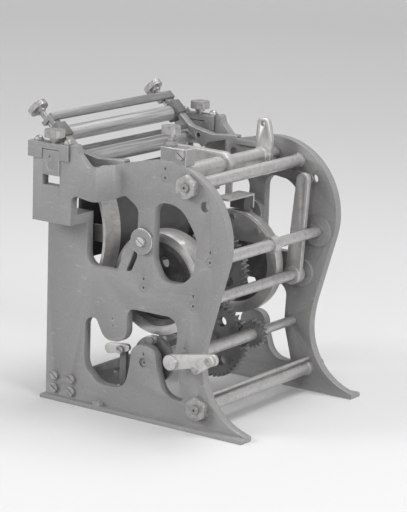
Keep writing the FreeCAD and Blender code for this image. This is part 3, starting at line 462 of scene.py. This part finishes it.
def eased(node, width, edge=None):
    """Stands for a CAD piece, its arrises eased; edge is the finish on them, rubbed paint with
    a painted highlight.
    """
    source = frame["nodes"][node]
    mesh = source.data.copy()
    mesh.name = node + "_eased"
    shell = bmesh.new()
    shell.from_mesh(mesh)
    bmesh.ops.remove_doubles(shell, verts=shell.verts, dist=1e-6)
    bmesh.ops.dissolve_limit(shell, angle_limit=math.radians(0.6), verts=shell.verts,
                             edges=shell.edges)
    shell.to_mesh(mesh)
    shell.free()
    for face in mesh.polygons:
        face.use_smooth = True
    piece = bpy.data.objects.new(node + "_eased", mesh)
    bpy.context.collection.objects.link(piece)
    ease = piece.modifiers.new("eased_edges", "BEVEL")
    ease.width = width
    ease.segments = 2
    ease.limit_method = "ANGLE"
    ease.angle_limit = math.radians(38)
    ease.use_clamp_overlap = True
    ease.harden_normals = True
    if edge is not None:
        mesh.materials.append(edge)
        ease.material = 1
    body = next(name for name, nodes in frame["record"]["behaviour"]["bodies"].items()
                if node in nodes)
    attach(piece, body)
    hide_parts(node)


# ---------------------------------------------------------------- repeated details

class Tree:
    """A Geometry Nodes tree with named inputs, turned into a plain mesh when it is done."""

    def __init__(self, name):
        self.group = bpy.data.node_groups.new(name, "GeometryNodeTree")
        self.ids = {}
        self.group.interface.new_socket("Geometry", in_out="INPUT",
                                        socket_type="NodeSocketGeometry")
        self.group.interface.new_socket("Geometry", in_out="OUTPUT",
                                        socket_type="NodeSocketGeometry")
        self.source = None

    def size(self, name, kind="NodeSocketFloat"):
        socket = self.group.interface.new_socket(name, in_out="INPUT", socket_type=kind)
        self.ids[name] = socket.identifier

    def node(self, kind, settings=None, links=None):
        made = self.group.nodes.new(kind)
        for name, value in (settings or {}).items():
            setattr(made, name, value)
        for name, value in (links or {}).items():
            if isinstance(value, bpy.types.NodeSocket):
                self.group.links.new(value, made.inputs[name])
            else:
                made.inputs[name].default_value = value
        return made

    def start(self):
        self.source = self.node("NodeGroupInput")
        return self.source.outputs

    def end(self, geometry, material):
        real = self.node("GeometryNodeRealizeInstances", links={"Geometry": geometry})
        dressed = self.node("GeometryNodeSetMaterial",
                            links={"Geometry": real.outputs[0], "Material": material})
        self.node("NodeGroupOutput", links={"Geometry": dressed.outputs[0]})

    def stand_on(self, points, shape, material):
        """Stands the shape on every point, facing along Y, at the point's own width."""
        wide = self.node("GeometryNodeInputNamedAttribute", {"data_type": "FLOAT"},
                         {"Name": "wide"})
        spread = self.node("GeometryNodeInstanceOnPoints", links={
            "Points": points, "Instance": shape,
            "Rotation": (math.pi / 2, 0, 0), "Scale": wide.outputs[0]})
        self.end(spread.outputs[0], material)

    def grow(self, name, mesh, sizes, place=None):
        """Runs the tree on the mesh with these sizes, then moves the mesh to its place."""
        seed = bpy.data.objects.new(name + "_seed", mesh)
        bpy.context.collection.objects.link(seed)
        grown = seed.modifiers.new("grow", "NODES")
        grown.node_group = self.group
        for size, value in sizes.items():
            grown[self.ids[size]] = value
        graph = bpy.context.evaluated_depsgraph_get()
        result = bpy.data.meshes.new_from_object(seed.evaluated_get(graph))
        result.name = name
        bpy.data.objects.remove(seed)
        if place is not None:
            result.transform(place)
        piece = bpy.data.objects.new(name, result)
        bpy.context.collection.objects.link(piece)
        return piece


def sized_points(name, points):
    """Loose points for a tree; each carries the width of what stands on it, in mm."""
    mesh = bpy.data.meshes.new(name)
    mesh.from_pydata([place for place, _ in points], [], [])
    sizes = mesh.attributes.new("wide", "FLOAT", "POINT")
    for item, (_, wide) in zip(sizes.data, points):
        item.value = wide * MM
    return mesh


def mark_tree(material):
    """Small dark dots, one at each point, as wide as the point's own size says."""
    tree = Tree("punch_marks")
    tree.size("Sides", "NodeSocketInt")
    tree.size("Rise")
    inputs = tree.start()
    dot = tree.node("GeometryNodeMeshCone", {"fill_type": "NGON"}, {
        "Vertices": inputs["Sides"], "Radius Top": 0.55, "Radius Bottom": 1.0,
        "Depth": inputs["Rise"]})
    tree.stand_on(inputs["Geometry"], dot.outputs["Mesh"], material)
    return tree


def punch_marks():
    """Fitter's punch marks over the bearings and drilled centres in the shaft ends, drawn as
    near-black dots: dirt plus the painted shade of each dimple.
    """
    proud = 0.2 * MM
    face = max(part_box("side_frame_near")[0].y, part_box("main_shaft")[0].y - proud)
    points = []
    for shaft, above in (("rocker_shaft", 7.9), ("main_shaft", 7.9), ("guide_shaft", 9.7),
                         ("swing_shaft", 9.8), ("lay_shaft", 7.6)):
        x, _, z = centre_of(shaft)
        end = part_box(shaft)[0].y
        points.append(((x, end, z), 1.1))
        points.append(((x, face, z + above * MM), 0.8))
    for rod in ("top_tie_rod", "bottom_tie_rod"):
        x, _, z = centre_of(rod)
        points.append(((x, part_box(rod)[0].y, z), 1.3))
    points += [((x * MM, face, z * MM), 0.7) for x, z in ((-23.9, 88.6), (-23.2, 82.1))]
    piece = mark_tree(dirt_and_dimple_shade()).grow("punch_marks", sized_points("marks", points),
                                          {"Sides": 14, "Rise": 0.1})
    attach(piece, "frame")


def ring_tree(material):
    """A fine dark line round each point, as wide as the point's own size says."""
    tree = Tree("bearing_lines")
    tree.size("Line")
    inputs = tree.start()
    circle = tree.node("GeometryNodeCurvePrimitiveCircle", {"mode": "RADIUS"},
                       {"Resolution": 40, "Radius": 1.0})
    section = tree.node("GeometryNodeCurvePrimitiveCircle", {"mode": "RADIUS"},
                        {"Resolution": 6, "Radius": inputs["Line"]})
    ring = tree.node("GeometryNodeCurveToMesh", links={
        "Curve": circle.outputs[0], "Profile Curve": section.outputs[0]})
    tree.stand_on(inputs["Geometry"], ring.outputs[0], material)
    return tree


def bearing_lines():
    """Dirt lines where the shafts' ends sit in the bores of both frames."""
    bore_radius = 4.3
    sunk = 0.12 * MM
    near_end, far_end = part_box("main_shaft")
    points = []
    for shaft in ("rocker_shaft", "main_shaft", "guide_shaft", "swing_shaft", "lay_shaft"):
        x, _, z = centre_of(shaft)
        for face in (near_end.y + sunk, far_end.y - sunk):
            points.append(((x, face, z), bore_radius))
    piece = ring_tree(dirt_and_dimple_shade()).grow("bearing_lines", sized_points("lines", points),
                                          {"Line": 0.05})
    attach(piece, "frame")


def thread_tree(material):
    """One rounded thread wound up the Z axis."""
    tree = Tree("screw_thread")
    tree.size("Turns")
    tree.size("Radius")
    tree.size("Length")
    tree.size("Crest")
    inputs = tree.start()
    helix = tree.node("GeometryNodeCurveSpiral", links={
        "Resolution": 24, "Rotations": inputs["Turns"], "Start Radius": inputs["Radius"],
        "End Radius": inputs["Radius"], "Height": inputs["Length"]})
    section = tree.node("GeometryNodeCurvePrimitiveCircle", {"mode": "RADIUS"},
                        {"Resolution": 6, "Radius": inputs["Crest"]})
    sweep = tree.node("GeometryNodeCurveToMesh", links={
        "Curve": helix.outputs[0], "Profile Curve": section.outputs[0], "Fill Caps": True})
    tree.end(sweep.outputs[0], material)
    return tree


def screw_threads():
    """Threads on the bare lengths of the thumb screws and the adjuster screw."""
    tree = thread_tree(frame["nodes"]["thumb_screw_near"].data.materials[0])
    root_radius, crest = 2.55 * MM, 0.28 * MM

    def thread(body, turns, length, place):
        piece = tree.grow("thread_" + body, bpy.data.meshes.new("seed"), {
            "Turns": turns, "Radius": root_radius, "Length": length, "Crest": crest}, place)
        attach(piece, body)

    outward = Vector((-0.744312, 0, 0.667833))
    lean = outward.to_track_quat("Z", "Y").to_matrix().to_4x4()
    shoulder_x, shoulder_z, start = -0.108178, 0.263446, 0.5 * MM
    for side, body in ((-0.09, "thumb_near"), (0.09, "thumb_far")):
        foot = Vector((shoulder_x, side, shoulder_z)) + outward * start
        thread(body, 8.0, 8 * MM, Matrix.Translation(foot) @ lean)
    x, y, _ = centre_of("adjuster_screw")
    top_of_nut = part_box("adjuster_locknut")[1].z
    thread("adjuster", 3.4, 3.4 * MM, Matrix.Translation((x, y, top_of_nut)))


def make_floor():
    """Pale floor that turns up into a wall all round, well outside the camera's circle."""
    flat, curl, wall_top = 2.9, 0.9, 3.0
    steps, sides = 8, 96
    below = 1e-5
    profile = [(1.2, 0.0), (flat, 0.0)]
    for step in range(1, steps + 1):
        rise = math.pi / 2 * step / steps
        profile.append((flat + curl * math.sin(rise), curl - curl * math.cos(rise)))
    profile.append((flat + curl, wall_top))
    points = [(0.0, 0.0, -below)]
    for reach, height in profile:
        for k in range(sides):
            turn = 2 * math.pi * k / sides
            points.append((reach * math.cos(turn), reach * math.sin(turn), height - below))
    faces = [(0, 1 + k, 1 + (k + 1) % sides) for k in range(sides)]
    for ring in range(len(profile) - 1):
        low = 1 + ring * sides
        for k in range(sides):
            after = (k + 1) % sides
            faces.append((low + k, low + sides + k, low + sides + after, low + after))
    mesh = bpy.data.meshes.new("floor")
    mesh.from_pydata(points, [], faces)
    for face in mesh.polygons:
        face.use_smooth = True
    floor = bpy.data.objects.new("floor", mesh)
    bpy.context.collection.objects.link(floor)
    floor.data.materials.append(paper_floor())


make_camera()
make_light()
make_floor()
dress_all()
# Rubbed paint with a painted edge highlight on the castings' eased arrises.
rubbed_and_highlit = rubbed_paint_and_edge_highlight()
for casting, width in (("side_frame_near", 0.8 * MM), ("side_frame_far", 0.8 * MM),
                       ("bearing_caps", 0.6 * MM), ("inking_bracket_near", 0.5 * MM),
                       ("inking_bracket_far", 0.5 * MM), ("adjuster_post", 0.5 * MM),
                       ("bearing_blocks", 0.4 * MM), ("pivot_discs", 0.4 * MM)):
    eased(casting, width, rubbed_and_highlit)
for fitting in ("crank_arm", "crank_link", "link_bar", "link_lever", "rocker_arm",
                "near_wheel", "far_wheel", "rear_girt", "trip_lever",
                "roller_blocks", "cross_strap", "tie_rod_nuts"):
    eased(fitting, 0.35 * MM)
punch_marks()
bearing_lines()
screw_threads()
